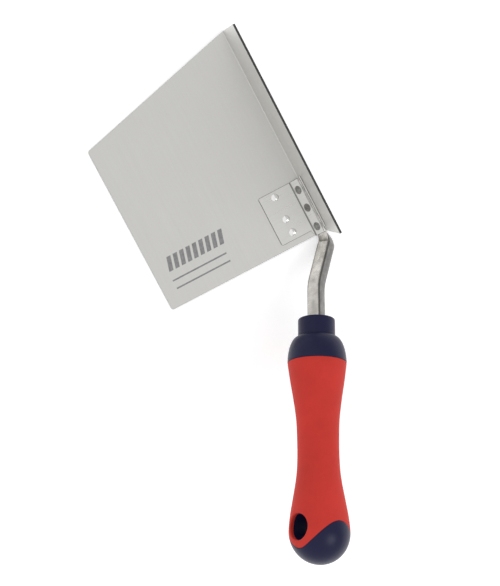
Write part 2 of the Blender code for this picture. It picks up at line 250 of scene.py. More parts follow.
def handle_place():
    """Matrix of the handle's frame in the tool's frame."""
    down = handle_axis()
    across = Vector((1.0, 0.0, 0.0))
    turn = Matrix((across, down.cross(across), down)).transposed().to_4x4()
    return Matrix.Translation(HANDLE_TOP) @ turn


TOOL = tool_place()
HANDLE = TOOL @ handle_place()


# Curves.

def steps_between(start, end, count):
    """Evenly spaced values from start to end, both of them included."""
    return [start + (end - start) * k / count for k in range(count + 1)]


def fillet(before, corner, after, radius, steps):
    """Points of the arc that rounds the corner of a flat path."""
    back = (before - corner).normalized()
    ahead = (after - corner).normalized()
    half = back.angle(ahead) / 2
    centre = corner + (back + ahead).normalized() * (radius / math.sin(half))
    first = corner + back * (radius / math.tan(half)) - centre
    turn = math.pi - 2 * half
    if back.x * ahead.y - back.y * ahead.x > 0:
        turn = -turn
    return [centre + Matrix.Rotation(turn * k / steps, 2) @ first for k in range(steps + 1)]


def smooth_value(knots, where):
    """Catmull-Rom value at where, through (position, value) knots."""
    last = len(knots) - 2
    index = max(k for k in range(last + 1) if k == 0 or knots[k][0] <= where)
    (x0, y0), (x1, y1) = knots[index], knots[index + 1]
    xa, ya = knots[max(index - 1, 0)]
    xb, yb = knots[min(index + 2, last + 1)]
    span = x1 - x0
    slope_in = (y1 - ya) / (x1 - xa) * span
    slope_out = (yb - y0) / (xb - x0) * span
    t = (where - x0) / span
    return (
        (2 * t**3 - 3 * t**2 + 1) * y0
        + (t**3 - 2 * t**2 + t) * slope_in
        + (3 * t**2 - 2 * t**3) * y1
        + (t**3 - t**2) * slope_out
    )


def quarter_ellipse(t):
    """Height of a unit circle's arc over t, from 1 at t = 0 down to 0 at t = 1."""
    return math.sqrt(max(0.0, 1.0 - t * t))


# Materials. Every one is made of nodes alone, in the piece's own coordinates.

def add_node(tree, kind, inputs=None, **settings):
    """Node with these settings, and with each input a value or another node's output."""
    made = tree.nodes.new(kind)
    for name, value in settings.items():
        setattr(made, name, value)
    for socket, value in (inputs or {}).items():
        if isinstance(value, bpy.types.NodeSocket):
            tree.links.new(value, made.inputs[socket])
        else:
            made.inputs[socket].default_value = value
    return made


def new_material(name):
    made = bpy.data.materials.new(name)
    made.use_nodes = True
    return made, made.node_tree, made.node_tree.nodes["Principled BSDF"]


def noise_at(tree, spot, scale, detail, roughness, stretch=EVENLY):
    """Noise value, its pattern stretched along the axes with the smaller numbers."""
    stretched = add_node(tree, "ShaderNodeMapping", {"Vector": spot, "Scale": stretch})
    made = add_node(
        tree, "ShaderNodeTexNoise",
        {"Vector": stretched.outputs[0], "Scale": scale, "Detail": detail, "Roughness": roughness},
    )
    return made.outputs["Fac"]


def spread(tree, value, low, high, start=0.3, end=0.7):
    """Value from start..end, moved to low..high."""
    made = add_node(
        tree, "ShaderNodeMapRange",
        {"Value": value, "From Min": start, "From Max": end, "To Min": low, "To Max": high},
    )
    return made.outputs[0]


def math_of(tree, operation, one, two=0.0):
    return add_node(tree, "ShaderNodeMath", {0: one, 1: two}, operation=operation).outputs[0]


def weighted(tree, share, one, two):
    """A share of one value plus the rest of the other."""
    first = math_of(tree, "MULTIPLY", one, share)
    second = math_of(tree, "MULTIPLY", two, 1.0 - share)
    return math_of(tree, "ADD", first, second)


def between(tree, share, one, two):
    """Colour a share of the way from one to the other; each is a colour or a node's output."""
    made = add_node(tree, "ShaderNodeMix", {"Factor": share}, data_type="RGBA")
    ends = [socket for socket in made.inputs if socket.type == "RGBA"]
    for socket, colour in zip(ends, (one, two)):
        if isinstance(colour, bpy.types.NodeSocket):
            tree.links.new(colour, socket)
        else:
            socket.default_value = (*colour, 1.0)
    return next(socket for socket in made.outputs if socket.type == "RGBA")


def shaded(colour, amount):
    return tuple(min(1.0, channel * amount) for channel in colour)


def painted(tree, shader, colour, roughness):
    tree.links.new(colour, shader.inputs["Base Color"])
    tree.links.new(roughness, shader.inputs["Roughness"])


def bumped(tree, shader, height, distance, strength, under=None):
    inputs = {"Height": height, "Distance": distance, "Strength": strength}
    if under:
        inputs["Normal"] = under
    made = add_node(tree, "ShaderNodeBump", inputs)
    tree.links.new(made.outputs[0], shader.inputs["Normal"])


def steel(name, colour, roughness, grain, stretch, contrast):
    """Rolled or drawn steel: fine grain along one way, faint smudges and sparse scratches."""
    made, tree, shader = new_material(name)
    shader.inputs["Metallic"].default_value = 1.0
    spot = add_node(tree, "ShaderNodeTexCoord").outputs["Object"]
    streaks = noise_at(tree, spot, grain, 4.0, 0.6, stretch)
    smudges = noise_at(tree, spot, 38.0, 3.0, 0.5)
    scratches = noise_at(tree, spot, grain * 0.5, 1.0, 0.4, tuple(0.25 * s for s in stretch))
    tone = weighted(tree, 0.65, streaks, smudges)
    share = spread(tree, tone, 0.0, 1.0, 0.32, 0.68)
    base = between(tree, share, shaded(colour, 1.0 - contrast), shaded(colour, 1.0 + contrast))
    even = spread(tree, tone, roughness - 0.035, roughness + 0.035, 0.35, 0.65)
    worn = spread(tree, scratches, 0.0, 0.05, 0.66, 0.72)
    painted(tree, shader, base, math_of(tree, "ADD", even, worn))
    bumped(tree, shader, streaks, 0.000012, 0.2)
    return made


def drawn_bar(name, colour, shade_colour):
    """Square bar: two faces painted lit and two painted in shade, corners painted darker as shade, and
    dull patches.
    """
    made, tree, shader = new_material(name)
    shader.inputs["Metallic"].default_value = 1.0
    coordinates = add_node(tree, "ShaderNodeTexCoord")
    spot = coordinates.outputs["UV"]
    around = add_node(tree, "ShaderNodeSeparateXYZ", {"Vector": spot}).outputs[0]
    turns = math_of(tree, "MULTIPLY", around, math.pi / BAR)
    angle = math_of(tree, "ADD", turns, BAR_PHASE)
    doubled = math_of(tree, "MULTIPLY", angle, 2.0)
    # Painted light and shade: two faces lit, two in shade.
    face = spread(tree, math_of(tree, "COSINE", angle), 0.0, 1.0, -0.6, 0.6)
    # Painted shade along the corners.
    corner = spread(tree, math_of(tree, "COSINE", doubled), 0.38, 1.0, -0.85, -0.25)
    streaks = noise_at(tree, spot, 1400.0, 4.0, 0.6, (1.0, 0.02, 1.0))
    patches = noise_at(tree, coordinates.outputs["Object"], 240.0, 3.0, 0.6)
    tone = weighted(tree, 0.4, streaks, patches)
    share = spread(tree, tone, 0.0, 1.0, 0.36, 0.62)
    bright = between(tree, share, shaded(colour, 0.72), shaded(colour, 1.12))
    dark = between(tree, share, shaded(shade_colour, 0.75), shaded(shade_colour, 1.2))
    mixed = between(tree, face, dark, bright)
    toned = add_node(tree, "ShaderNodeVectorMath", {0: mixed, "Scale": corner}, operation="SCALE")
    painted(tree, shader, toned.outputs[0], spread(tree, tone, 0.34, 0.20, 0.35, 0.65))
    bumped(tree, shader, streaks, 0.000015, 0.4)
    return made


def cut_edge(name, colour):
    """Sheared edge of a sheet: duller than the rolled face, with fine marks, and painted much darker as
    shade.
    """
    made, tree, shader = new_material(name)
    shader.inputs["Metallic"].default_value = 0.85
    spot = add_node(tree, "ShaderNodeTexCoord").outputs["Object"]
    marks = noise_at(tree, spot, 1400.0, 3.0, 0.6)
    share = spread(tree, marks, 0.0, 1.0)
    base = between(tree, share, shaded(colour, 0.75), shaded(colour, 1.3))
    painted(tree, shader, base, spread(tree, marks, 0.42, 0.6))
    bumped(tree, shader, marks, 0.00002, 0.6)
    return made


def moulded(name, colour, rubbed_colour, roughness, grain, depth, gloss):
    """Moulded plastic or rubber: fine mould grain, soft tone changes and lighter rubbed patches."""
    made, tree, shader = new_material(name)
    shader.inputs["Specular IOR Level"].default_value = gloss
    spot = add_node(tree, "ShaderNodeTexCoord").outputs["Object"]
    fine = noise_at(tree, spot, grain, 2.0, 0.6)
    broad = noise_at(tree, spot, 60.0, 4.0, 0.6)
    patches = noise_at(tree, spot, 110.0, 5.0, 0.7)
    tone = spread(tree, broad, 0.0, 1.0)
    clean = between(tree, tone, shaded(colour, 0.93), shaded(colour, 1.07))
    rubbed = spread(tree, patches, 0.0, 0.18, 0.60, 0.80)
    even = spread(tree, broad, roughness - 0.04, roughness + 0.04)
    dulled = math_of(tree, "ADD", even, math_of(tree, "MULTIPLY", rubbed, 0.35))
    painted(tree, shader, between(tree, rubbed, clean, rubbed_colour), dulled)
    swell = {"Height": broad, "Distance": 0.00012, "Strength": 0.35}
    under = add_node(tree, "ShaderNodeBump", swell).outputs[0]
    bumped(tree, shader, fine, depth, 0.6, under)
    return made


def weld_metal(name, colours):
    """Weld metal, dark partly as heat scale and partly as painted shade of the hole's recess: blotchy,
    with a few brighter beads.
    """
    made, tree, shader = new_material(name)
    shader.inputs["Metallic"].default_value = 0.8
    spot = add_node(tree, "ShaderNodeTexCoord").outputs["Object"]
    scale = noise_at(tree, spot, 900.0, 4.0, 0.6)
    blotch = noise_at(tree, spot, 320.0, 3.0, 0.6)
    base = between(tree, spread(tree, blotch, 0.0, 1.0), *colours)
    painted(tree, shader, base, spread(tree, scale, 0.4, 0.7))
    bumped(tree, shader, scale, 0.00008, 0.8)
    return made


def printed(name, colours):
    """Etched grey marking, thin in places."""
    made, tree, shader = new_material(name)
    spot = add_node(tree, "ShaderNodeTexCoord").outputs["Object"]
    thin = noise_at(tree, spot, 700.0, 4.0, 0.65)
    base = between(tree, spread(tree, thin, 0.0, 1.0, 0.35, 0.75), *colours)
    painted(tree, shader, base, spread(tree, thin, 0.55, 0.75))
    bumped(tree, shader, thin, 0.00001, 0.4)
    return made


def floor_paint(name, colours):
    """Matt white paint that glows a little, so that shadows on it stay pale."""
    made, tree, shader = new_material(name)
    spot = add_node(tree, "ShaderNodeTexCoord").outputs["Object"]
    soft = noise_at(tree, spot, 6.0, 2.0, 0.5)
    tree.links.new(between(tree, soft, *colours), shader.inputs["Base Color"])
    shader.inputs["Roughness"].default_value = 0.9
    shader.inputs["Specular IOR Level"].default_value = 0.1
    shader.inputs["Emission Color"].default_value = WHITE
    shader.inputs["Emission Strength"].default_value = FLOOR_GLOW
    return made


# Making pieces.

def finished_mesh(name, bm, sharp_angle=SHARP_ANGLE):
    bmesh.ops.recalc_face_normals(bm, faces=bm.faces)
    mesh = bpy.data.meshes.new(name)
    bm.to_mesh(mesh)
    bm.free()
    mesh.shade_smooth()
    mesh.set_sharp_from_angle(angle=sharp_angle)
    return mesh


def add_piece(name, mesh, place, materials, slot, *nodes):
    """Piece with its mesh drawn where it belongs, so that its own box is its true box."""
    mesh.transform(place)
    piece = bpy.data.objects.new(name, mesh)
    bpy.context.scene.collection.objects.link(piece)
    for material in materials:
        mesh.materials.append(material)
    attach(piece, "root")
    if nodes:
        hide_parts(*nodes)
    return piece


def settle(piece):
    """Turn a piece's modifiers into plain mesh."""
    bpy.context.view_layer.update()
    graph = bpy.context.evaluated_depsgraph_get()
    mesh = bpy.data.meshes.new_from_object(piece.evaluated_get(graph), depsgraph=graph)
    piece.modifiers.clear()
    piece.data = mesh


def turned_mesh(name, profile, steps=TURNED_STEPS):
    """Round solid about local Z, from (radius, height) points running down its outer side."""
    bm = bmesh.new()
    rings = []
    for radius, height in profile:
        if radius == 0.0:
            rings.append([bm.verts.new((0.0, 0.0, height))])
            continue
        angles = [2 * math.pi * k / steps for k in range(steps)]
        spots = [(radius * math.cos(angle), radius * math.sin(angle), height) for angle in angles]
        rings.append([bm.verts.new(spot) for spot in spots])
    for one, two in zip(rings, rings[1:]):
        for k in range(steps):
            columns = (k, (k + 1) % steps)
            upper = [one[column % len(one)] for column in columns]
            lower = [two[column % len(two)] for column in reversed(columns)]
            bm.faces.new(list(dict.fromkeys(upper + lower)))
    return finished_mesh(name, bm)


def bridge(bm, one, two):
    """Quads between two closed rings of the same length."""
    for k in range(len(one)):
        after = (k + 1) % len(one)
        bm.faces.new((one[k], one[after], two[after], two[k]))


def cut_holes(piece, profile, places):
    """Add a turned hole to the piece at each place; the cutters stay until it is finished."""
    cutters = []
    for k, place in enumerate(places):
        cutter = bpy.data.objects.new(f"cutter_{k}", turned_mesh("cutter", profile, CUTTER_STEPS))
        bpy.context.scene.collection.objects.link(cutter)
        cutter.matrix_world = place
        hole = piece.modifiers.new(f"hole_{k}", "BOOLEAN")
        hole.operation = "DIFFERENCE"
        hole.solver = "EXACT"
        hole.object = cutter
        cutters.append(cutter)
    return cutters


def folded_sheet(name, strip, thickness, bevel, materials, rim, slot, node):
    """Sheet from its inner face: strip holds (section point, rear y, front y) across the fold.

    The last material goes on the small rounded edges, and the one numbered rim on the cut faces.
    """
    mesh = bpy.data.meshes.new(name)
    points = []
    for flat, rear, front in strip:
        points.append((flat.x, rear, flat.y))
        points.append((flat.x, front, flat.y))
    quads = [(2 * k, 2 * k + 2, 2 * k + 3, 2 * k + 1) for k in range(len(strip) - 1)]
    mesh.from_pydata(points, [], quads)
    mesh.shade_smooth()
    piece = add_piece(name, mesh, TOOL, materials, slot, node)
    solid = piece.modifiers.new("thickness", "SOLIDIFY")
    solid.thickness = thickness
    solid.offset = -1.0
    solid.use_even_offset = True
    solid.material_offset_rim = rim
    edges = piece.modifiers.new("edges", "BEVEL")
    edges.width = bevel
    edges.segments = 3
    edges.limit_method = "ANGLE"
    edges.angle_limit = BEVEL_ANGLE
    edges.material = len(materials) - 1
    edges.use_clamp_overlap = False
    return piece


def finish_sheet(piece, cutters):
    """Shade the sheet's flat faces flat, apply its modifiers and remove the cutters."""
    shading = piece.modifiers.new("shading", "WEIGHTED_NORMAL")
    shading.keep_sharp = True
    settle(piece)
    for cutter in cutters:
        bpy.data.objects.remove(cutter, do_unlink=True)


# The blade and its bracket.

def corner_inset(reach, limit):
    """How far a rounded corner of a wing or flange has drawn back at this reach."""
    run = max(0.0, reach - (limit - CORNER_RADIUS))
    return CORNER_RADIUS - math.sqrt(max(0.0, CORNER_RADIUS**2 - run**2))


def tip_reaches(limit):
    """Reaches from a wing's free edge through its rounded corner."""
    angles = steps_between(0.0, math.pi / 2, CORNER_STEPS)
    return [limit - CORNER_RADIUS * (1 - math.cos(angle)) for angle in angles]


def both_wings(half, middle):
    """The left half of a strip, its middle and the left half mirrored."""
    mirrored = [(Vector((-flat.x, flat.y)), rear, front) for flat, rear, front in reversed(half)]
    return half + middle + mirrored


def rivet_places():
    """Matrix for each rivet, by its node's name, on the inner face of its wing."""
    places = {}
    for side_name, side in (("left", -1), ("right", 1)):
        for number, station in enumerate(RIVET_STATIONS, 1):
            places[f"{side_name}_rivet_{number}"] = TOOL @ wing_place(side, RIVET_REACH, station)
    return places


def rivet_hole():
    """Profile of a rivet's hole through bracket and blade, flared for the tail."""
    radius = RIVET_SHANK_RADIUS + SEAM
    flare = (RIVET_TAIL_RADIUS - RIVET_SHANK_RADIUS) / RIVET_TAIL_HEIGHT
    neck = -SHEET + RIVET_TAIL_HEIGHT
    beyond = 0.001
    return [
        (0.0, BRACKET_SHEET + beyond),
        (radius, BRACKET_SHEET + beyond),
        (radius, neck),
        (radius + flare * (neck + SHEET + beyond), -SHEET - beyond),
        (0.0, -SHEET - beyond),
    ]


def build_blade(steel_face, steel_edge):
    """Folded sheet, its wings shorter towards their free edges, with the six rivet holes."""
    limit = WING_WIDTH - SHEET

    def entry(flat):
        """Section point with the blade's rear and front there."""
        reach = abs(flat.x) / math.sin(HALF_ANGLE)
        inset = corner_inset(reach, limit)
        return flat, inset, BLADE_LENGTH - reach * math.tan(FRONT_SWEEP) - inset

    half = [entry(wing_point(-1, reach, 0.0)) for reach in tip_reaches(limit)]
    tip = wing_point(-1, limit, 0.0)
    far = wing_point(1, limit, 0.0)
    fold = [entry(flat) for flat in fillet(tip, Vector((0.0, 0.0)), far, FOLD_RADIUS, FOLD_STEPS)]
    piece = folded_sheet(
        "blade_sheet", both_wings(half, fold), SHEET, SHEET_BEVEL, [steel_face, steel_edge], 1,
        "blade_steel", "blade",
    )
    cutters = cut_holes(piece, rivet_hole(), rivet_places().values())
    finish_sheet(piece, cutters)


def web_top():
    """Height of the web's upper face over the inside corner."""
    return wing_point(1, WEB_EDGE, SEAM + BRACKET_SHEET).y


def build_bracket(face, bend_shade):
    """Bracket plate; its left bend and its edges are painted darker than its faces, as painted shade.
    """
    height = SEAM + BRACKET_SHEET
    tip = wing_point(-1, FLANGE_EDGE, height)
    bend = wing_point(-1, WEB_EDGE, height)
    web_side = Vector((0.0, bend.y))
    half = []
    for reach in tip_reaches(FLANGE_EDGE):
        inset = corner_inset(reach, FLANGE_EDGE)
        half.append((wing_point(-1, reach, height), FLANGE_REAR + inset, BRACKET_FRONT - inset))
    arc = fillet(tip, bend, web_side, BRACKET_FOLD_RADIUS, BEND_STEPS)
    half.append((arc[0] + (tip - bend).normalized() * FLANGE_STEP, FLANGE_REAR, BRACKET_FRONT))
    half += [(flat, WEB_REAR, BRACKET_FRONT) for flat in arc]
    bend_span = (abs(arc[-1].x), abs(arc[0].x))
    piece = folded_sheet(
        "bracket_plate", both_wings(half, []), BRACKET_SHEET, BRACKET_BEVEL, [face, bend_shade], 0,
        "bracket_steel", "angle_bracket",
    )
    # Painted shade: the left bend's faces take the dark steel, as the bevel does on every edge.
    for polygon in piece.data.polygons:
        left = -(TOOL.inverted() @ polygon.center).x
        if bend_span[0] < left < bend_span[1]:
            polygon.material_index = 1
    cutters = cut_holes(piece, rivet_hole(), rivet_places().values())
    beyond = 0.002
    over = web_top() + beyond
    under = web_top() - BRACKET_SHEET - beyond
    hole = [(0.0, over), (WELD_HOLE_RADIUS, over), (WELD_HOLE_RADIUS, under), (0.0, under)]
    places = [TOOL @ Matrix.Translation((0.0, station, 0.0)) for station in WELD_STATIONS]
    cutters += cut_holes(piece, hole, places)
    finish_sheet(piece, cutters)


def build_rivets(head_steel, tail_steel):
    """Heads domed on the left and flat on the right, tails ground flush with the outer faces."""
    seat = SEAM + BRACKET_SHEET
    tail = -SHEET
    dish = 0.00004
    angles = steps_between(math.pi / 2, 0.0, RIVET_DOME_STEPS)
    shank = [
        (RIVET_SHANK_RADIUS, seat),
        (RIVET_SHANK_RADIUS, tail + RIVET_TAIL_HEIGHT),
        (RIVET_TAIL_RADIUS, tail + dish),
        (RIVET_TAIL_RADIUS - dish, tail),
        (RIVET_TAIL_RADIUS * 0.55, tail + dish),
        (0.0, tail + dish * 1.5),
    ]
    for node, place in rivet_places().items():
        height = RIVET_HEAD_HEIGHTS[node.split("_")[0]]
        head = [(RIVET_HEAD_RADIUS * math.cos(a), seat + height * math.sin(a)) for a in angles]
        head[0] = (0.0, seat + height)
        mesh = turned_mesh(node, head + shank)
        for face in mesh.polygons:
            face.material_index = int(face.center.z < tail + RIVET_TAIL_HEIGHT)
        add_piece(node + "_head", mesh, place, [head_steel, tail_steel], "rivet_steel", node)


def build_welds(material):
    """Plug welds at the bottom of the web's holes, their surface left rough by the torch."""
    under = web_top() - BRACKET_SHEET
    radius = WELD_HOLE_RADIUS - SEAM
    top = under + WELD_THICKNESS
    shares = steps_between(0.0, 1.0, WELD_RINGS)
    profile = [(radius * share, top - WELD_DISH * (1 - share**2)) for share in shares]
    profile += [(radius, under), (0.0, under)]
    for number, station in enumerate(WELD_STATIONS, 1):
        mesh = turned_mesh(f"plug_weld_{number}", profile)
        for vertex in mesh.vertices:
            if vertex.co.z > under + WELD_THICKNESS / 4:
                spot = Vector((vertex.co.x, vertex.co.y + station, 0.0)) * WELD_GRAIN
                vertex.co.z += WELD_ROUGHNESS * noise.noise(spot)
        place = TOOL @ Matrix.Translation((0.0, station, 0.0))
        add_piece(f"weld_pool_{number}", mesh, place, [material], "weld_metal", f"plug_weld_{number}")


def bar_slab(bm, low, high, slant=0.0):
    """Thin slab on the left wing's inner face, from (reach, y) low to high, its sides slanted."""
    lean = (high[1] - low[1]) * math.tan(slant)
    outline = [low, (high[0], low[1]), (high[0] + lean, high[1]), (low[0] + lean, high[1])]
    layers = []
    for height in (-MARK_THICKNESS / 2, MARK_THICKNESS):
        layer = []
        for reach, station in outline:
            flat = wing_point(-1, reach, height)
            layer.append(bm.verts.new((flat.x, station, flat.y)))
        layers.append(layer)
    bm.faces.new(layers[0])
    bm.faces.new(layers[1])
    bridge(bm, layers[0], layers[1])


def build_mark(material):
    """Plain marking: a band of slanted bars over two thin rules."""
    bm = bmesh.new()
    rear, front = MARK_BAR_SPAN
    for k in range(MARK_BARS):
        reach = MARK_BAR_START + k * MARK_BAR_PITCH
        bar_slab(bm, (reach, rear), (reach + MARK_BAR_WIDTH, front), MARK_SLANT)
    start, end = MARK_RULE_SPAN
    for station in MARK_RULE_PLACES:
        bar_slab(bm, (start, station), (end, station + MARK_RULE_WIDTH))
    add_piece("plain_mark", finished_mesh("plain_mark", bm), TOOL, [material], "blade_steel")


# The tang.

def rounded_section(corners, radius):
    """Closed outline with its corners rounded, always the same number of points."""
    outline = []
    for k, corner in enumerate(corners):
        before = corners[k - 1]
        after = corners[(k + 1) % len(corners)]
        start = corner + (before - corner).normalized() * radius
        end = corner + (after - corner).normalized() * radius
        for t in steps_between(0.0, 1.0, BAR_CORNER_STEPS):
            outline.append(start * (1 - t) ** 2 + corner * 2 * t * (1 - t) + end * t**2)
    return outline


def tang_path():
    """Centre line in the Y-Z plane as (point, blend), blend 0 on the foot and 1 on the square bar."""
    foot_top = web_top() - BRACKET_SHEET - SEAM
    level = (foot_top + FOOT_BOTTOM) / 2
    start = Vector((FOOT_FRONT, level))
    heel = Vector((TANG_BEND_Y, level))
    rise = Vector((-math.cos(TANG_RISE), math.sin(TANG_RISE)))
    axis = Vector((handle_axis().y, handle_axis().z))
    top = Vector((HANDLE_TOP.y, HANDLE_TOP.z))
    climb = (top - heel).cross(axis) / rise.cross(axis)
    neck = heel + rise * climb
    end = top + axis * TANG_IN_HANDLE
    heel_arc = fillet(start, heel, neck, FOOT_BEND_RADIUS, HEEL_STEPS)
    neck_arc = fillet(heel, neck, end, NECK_BEND_RADIUS, NECK_STEPS)
    path = [(start, 0.0), (Vector((WEB_REAR, level)), 0.0)]
    path += [(point, min(1.0, HEEL_BLEND + k / HEEL_STEPS)) for k, point in enumerate(heel_arc)]
    path += [(heel_arc[-1].lerp(neck_arc[0], t), 1.0) for t in (0.33, 0.66)]
    path += [(point, 1.0) for point in neck_arc + [neck_arc[-1].lerp(end, 0.5), end]]
    return path


def tang_section(blend, foot_half_height):
    """Section from the flattened foot (blend 0) to the square bar, turned on its axis (blend 1)."""
    foot_half_width = web_top() - BRACKET_SHEET - 3 * SEAM
    foot = [
        Vector((-foot_half_width, foot_half_height)),
        Vector((foot_half_width, foot_half_height)),
        Vector((FOOT_BOTTOM_WIDTH / 2, -foot_half_height)),
        Vector((-FOOT_BOTTOM_WIDTH / 2, -foot_half_height)),
    ]
    half = BAR / 2
    bar = [Vector((-half, half)), Vector((half, half)), Vector((half, -half)), Vector((-half, -half))]
    turn = Matrix.Rotation(-TANG_TWIST * blend, 2)
    corners = [turn @ one.lerp(two, blend) for one, two in zip(foot, bar)]
    return rounded_section(corners, FOOT_EDGE_RADIUS + (BAR_EDGE_RADIUS - FOOT_EDGE_RADIUS) * blend)


def build_tang(material):
    """Bar lofted along its path; its UV map runs in metres, V along the bar, for the drawn marks and
    the painted light and shade round it.
    """
    path = tang_path()
    foot_half_height = (web_top() - BRACKET_SHEET - SEAM - FOOT_BOTTOM) / 2
    bm = bmesh.new()
    drawn = bm.loops.layers.uv.new("drawn")
    rings = []
    lengths = []
    length = 0.0
    for k, (centre, blend) in enumerate(path):
        before = path[max(k - 1, 0)][0]
        after = path[min(k + 1, len(path) - 1)][0]
        ahead = (after - before).normalized()
        up = Vector((ahead.y, -ahead.x))
        length += (centre - before).length
        lengths.append(length)
        ring = []
        for point in tang_section(blend, foot_half_height):
            spot = centre + up * point.y
            ring.append(bm.verts.new((point.x, spot.x, spot.y)))
        rings.append(ring)
    bm.faces.new(rings[0])
    bm.faces.new(rings[-1])
    around = 4 * BAR
    for row, (one, two) in enumerate(zip(rings, rings[1:])):
        count = len(one)
        for k in range(count):
            after = (k + 1) % count
            face = bm.faces.new((one[k], one[after], two[after], two[k]))
            corners = ((k, row), (k + 1, row), (k + 1, row + 1), (k, row + 1))
            for loop, (column, height) in zip(face.loops, corners):
                loop[drawn].uv = (around * column / count, lengths[height])
    add_piece("tang_bar", finished_mesh("tang_bar", bm), TOOL, [material], "bar_steel", "tang")


# The handle.

def handle_radius(station):
    """Outer radius of the whole handle, from the collar's top to the butt."""
    if station <= COLLAR_LENGTH:
        return COLLAR_RADIUS
    if station <= SHOULDER:
        t = (SHOULDER - station) / (SHOULDER - COLLAR_LENGTH)
        return COLLAR_RADIUS + (SHOULDER_RADIUS - COLLAR_RADIUS) * quarter_ellipse(t)
    if station <= BUTT_START:
        return smooth_value(GRIP_CURVE, station)
    t = (station - BUTT_START) / (HANDLE_LENGTH - BUTT_START)
    return GRIP_CURVE[-1][1] * quarter_ellipse(t)


def wave_station(angle):
    """Station where the sleeve ends: lowest around the hanging hole, highest beside it."""
    return WAVE_MIDDLE - WAVE_HEIGHT * math.cos(2 * angle)


def handle_ring(bm, rule):
    """Ring of vertices round the handle; rule gives (station, radius) for an angle from local X."""
    ring = []
    for k in range(HANDLE_COLUMNS):
        angle = 2 * math.pi * k / HANDLE_COLUMNS
        station, radius = rule(angle)
        ring.append(bm.verts.new((radius * math.cos(angle), radius * math.sin(angle), station)))
    return ring


def even_ring(bm, station, radius):
    """Round ring, the same all the way round."""
    return handle_ring(bm, lambda angle: (station, radius))


def grip_shares():
    """Rows down the grip, as shares of its length, and the rows that bound the hole's patch."""
    length = wave_station(math.pi / 2) - SLEEVE_TOP
    first = (HOLE_STATION - HOLE_RUN_UP - SLEEVE_TOP) / length
    last = (HOLE_STATION + HOLE_RUN_OUT - SLEEVE_TOP) / length
    above = steps_between(0.0, first, ROWS_ABOVE_HOLE)
    beside = steps_between(first, last, ROWS_BESIDE_HOLE)[1:]
    below = steps_between(last, 1.0, ROWS_BELOW_HOLE)[1:]
    return above + beside + below, len(above) - 1, len(above) + len(beside) - 1


def grip_ring(bm, share, depth, top_inset=0.0, end_inset=0.0):
    """Ring a share of the way from the sleeve's top to its wavy end, depth under the surface."""
    def rule(angle):
        start = SLEEVE_TOP + top_inset
        station = start + (wave_station(angle) - end_inset - start) * share
        return station, handle_radius(station) - depth
    return handle_ring(bm, rule)


def patch_border(loops, first, last, side):
    """Loop of vertices round the patch that holds the hole, on the side that faces local Y or -Y."""
    middle = HANDLE_COLUMNS // 4 * (1 if side > 0 else 3)
    half = HOLE_HALF_COLUMNS
    columns = [(middle + side * k) % HANDLE_COLUMNS for k in range(-half, half + 1)]
    top = [loops[first][column] for column in columns]
    right = [loops[row][columns[-1]] for row in range(first + 1, last)]
    bottom = [loops[last][column] for column in reversed(columns)]
    left = [loops[row][columns[0]] for row in range(last - 1, first, -1)]
    return top + right + bottom + left


def skin_with_holes(bm, loops, first, last):
    """Quads between the loops, except inside the two patches that hold the hole."""
    half = HOLE_HALF_COLUMNS
    for row in range(len(loops) - 1):
        for column in range(HANDLE_COLUMNS):
            quarter = HANDLE_COLUMNS // 4
            near = min(abs(column + 0.5 - quarter), abs(column + 0.5 - 3 * quarter))
            if first <= row < last and near < half:
                continue
            after = (column + 1) % HANDLE_COLUMNS
            one, two = loops[row], loops[row + 1]
            bm.faces.new((one[column], one[after], two[after], two[column]))


def on_surface(x, station, side, depth):
    """Point on the handle at this x and station, on the side that faces local Y or -Y."""
    radius = handle_radius(station) - depth
    return Vector((x, side * math.sqrt(radius**2 - x**2), station))


def hole_point(angle, grow):
    """(x, station) on the oval of the hole."""
    x = (HOLE_HALF_WIDTH + grow) * math.cos(angle)
    return x, HOLE_STATION + (HOLE_HALF_LENGTH + grow) * math.sin(angle)


def hole_funnel(bm, border, side, depth, grow):
    """Rings from a patch's border to the oval of the hole, on the surface at this depth."""
    angles = [
        math.atan2((v.co.z - HOLE_STATION) / HOLE_HALF_LENGTH, v.co.x / HOLE_HALF_WIDTH) for v in border
    ]
    previous = border
    for step in range(1, HOLE_RINGS + 1):
        share = 1 - (1 - step / HOLE_RINGS) ** 1.4
        ring = []
        for vertex, angle in zip(border, angles):
            x, station = hole_point(angle, grow)
            x = vertex.co.x + (x - vertex.co.x) * share
            station = vertex.co.z + (station - vertex.co.z) * share
            ring.append(bm.verts.new(on_surface(x, station, side, depth)))
        bridge(bm, previous, ring)
        previous = ring
    return angles, previous


def hole_ring(bm, angles, side, depth, grow):
    """Oval ring of the hole, at this depth under the surface and this much wider."""
    ring = []
    for angle in angles:
        x, station = hole_point(angle, grow)
        ring.append(bm.verts.new(on_surface(x, station, side, depth)))
    return ring


def edge_arc(radius, steps=4):
    """(inset, depth) along a rounded edge, from the surface over to the end face."""
    angles = steps_between(0.0, math.pi / 2, steps)
    return [(radius * (1 - math.sin(a)), radius * (1 - math.cos(a))) for a in angles]


